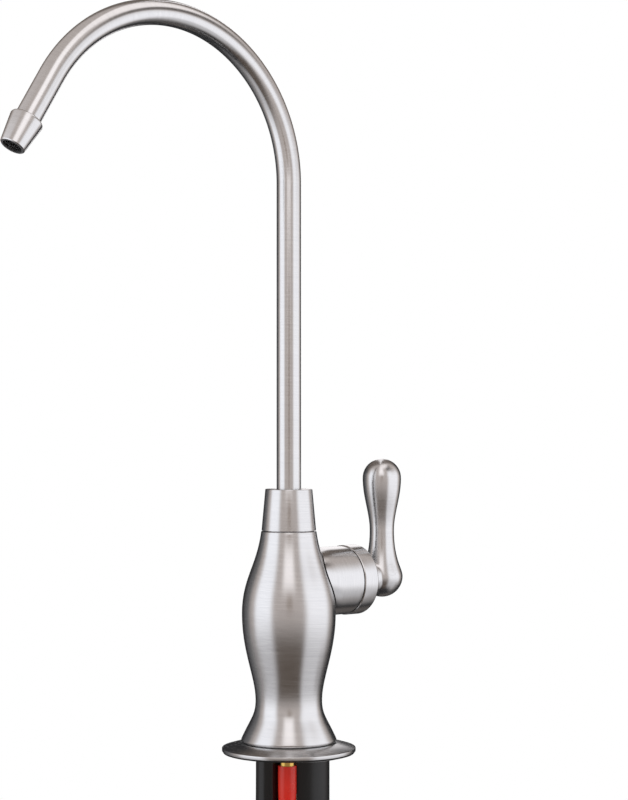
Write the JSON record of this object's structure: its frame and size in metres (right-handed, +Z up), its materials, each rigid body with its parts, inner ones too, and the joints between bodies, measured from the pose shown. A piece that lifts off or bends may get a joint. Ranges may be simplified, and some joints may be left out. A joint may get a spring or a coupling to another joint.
{
  "type": "drinking water filter tap",
  "caption": "Deck-mounted drinking water tap with swivel gooseneck spout, side lever with ceramic valve, built-in air gap, slotted clamp washer and push-fit hose connection.",
  "frame": {"origin": "centre of the base's underside, on the deck's top face, at the middle of the deck hole", "axes": "+Z up along the body's axis, +X along the valve barrel towards the lever; the spout at rest points to -X and the lever opens towards -Y"},
  "size_m": [0.1882, 0.052, 0.5357],
  "materials": {
    "brushed_nickel": "brushed satin nickel plate",
    "black_rubber": "moulded nitrile rubber, matt",
    "brass": "machined bright brass",
    "white_plastic": "moulded acetal, milky white",
    "ceramic": "lapped alumina",
    "stainless": "spring stainless",
    "polished_steel": "polished stainless sheet",
    "plated_steel": "nickel-plated, machined",
    "black_plastic": "moulded black acetal, satin",
    "blue_tube": "extruded polyethylene, blue",
    "red_tube": "extruded polyethylene, red",
    "black_tube": "extruded polyethylene, black"
  },
  "bodies": {
    "tap_body": {"base_plate": "brushed_nickel", "base_gasket": "black_rubber", "body_shell": "brushed_nickel", "foot_block": "brass", "shank": "plated_steel", "supply_riser": "brass", "waste_barb": "brass", "waste_riser": "brass", "drain_spigot": "white_plastic", "air_gap_funnel": "white_plastic", "valve_block": "brass", "spout_collar": "brushed_nickel", "spout_bush": "white_plastic", "valve_sleeve": "brushed_nickel", "cartridge_body": "brass", "cartridge_seal": "black_rubber", "fixed_disc": "ceramic", "bonnet_nut": "brass", "connector_body": "white_plastic", "connector_seal": "black_rubber", "connector_cap": "white_plastic", "connector_o_ring": "black_rubber", "supply_tube": "blue_tube", "waste_tube": "red_tube", "drain_tube": "black_tube"},
    "spout": {"spout_tube": "brushed_nickel", "spout_tip": "brushed_nickel", "spout_spigot": "brass", "spout_o_rings": "black_rubber"},
    "handle": {"lever_handle": "brushed_nickel", "grub_screw": "stainless", "screw_plug": "brushed_nickel", "valve_spindle": "brass", "moving_disc": "ceramic", "spindle_o_rings": "black_rubber", "spindle_clip": "stainless"},
    "clamp_stack": {"slotted_washer": "polished_steel", "spacer_sleeve": "black_plastic", "lock_washer": "plated_steel"},
    "clamp_nut": {"mounting_nut": "plated_steel"},
    "collet": {"connector_collet": "white_plastic"}
  },
  "joints": [
    {"name": "spout_swivel", "type": "hinge", "parent": "tap_body", "child": "spout", "pos_m": [0, 0, 0.096], "axis": [0, 0, 1], "continuous": true},
    {"name": "lever_turn", "type": "hinge", "parent": "tap_body", "child": "handle", "pos_m": [0.049, 0, 0.0655], "axis": [1, 0, 0], "range_deg": [0, 90]},
    {"name": "nut_turn", "type": "hinge", "parent": "clamp_stack", "child": "clamp_nut", "pos_m": [0.0068, 0, -0.049], "axis": [0, 0, 1], "range_deg": [0, 6463.2]},
    {"name": "clamp_slide", "type": "slide", "parent": "tap_body", "child": "clamp_stack", "axis": [0, 0, -1], "range_m": [0, 0.01901]},
    {"name": "collet_push", "type": "slide", "parent": "tap_body", "child": "collet", "axis": [0, 0, 1], "range_m": [0, 0.001]}
  ],
  "couplings": [
    {"joint": "clamp_slide", "follows": "nut_turn", "m_per_rad": 0.00016844}
  ]
}
